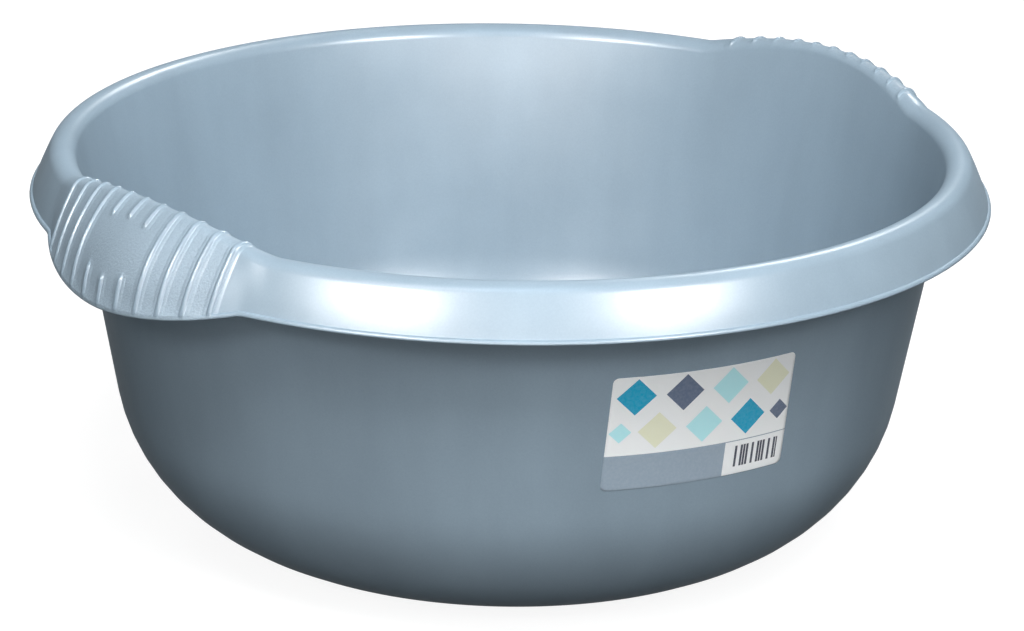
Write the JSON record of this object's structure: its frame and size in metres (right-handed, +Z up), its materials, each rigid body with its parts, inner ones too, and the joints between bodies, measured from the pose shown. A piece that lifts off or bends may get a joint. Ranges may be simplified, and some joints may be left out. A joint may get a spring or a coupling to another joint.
{
  "type": "washing up bowl",
  "caption": "Round washing up bowl in silver plastic, with a rolled rim, a hanging flange and two ribbed lens-shaped grips.",
  "frame": {"origin": "centre of the foot ring, on the surface that the bowl stands on", "axes": "+Z up along the bowl's axis, +X through the middle of one grip, the other grip on -X"},
  "size_m": [0.379, 0.3596, 0.1587],
  "materials": {
    "bowl_plastic": "smooth polypropylene with a fine silver pearl",
    "sticker": "printed self-adhesive film"
  },
  "bodies": {
    "root": {"bowl": "bowl_plastic", "label": "sticker"}
  },
  "joints": []
}
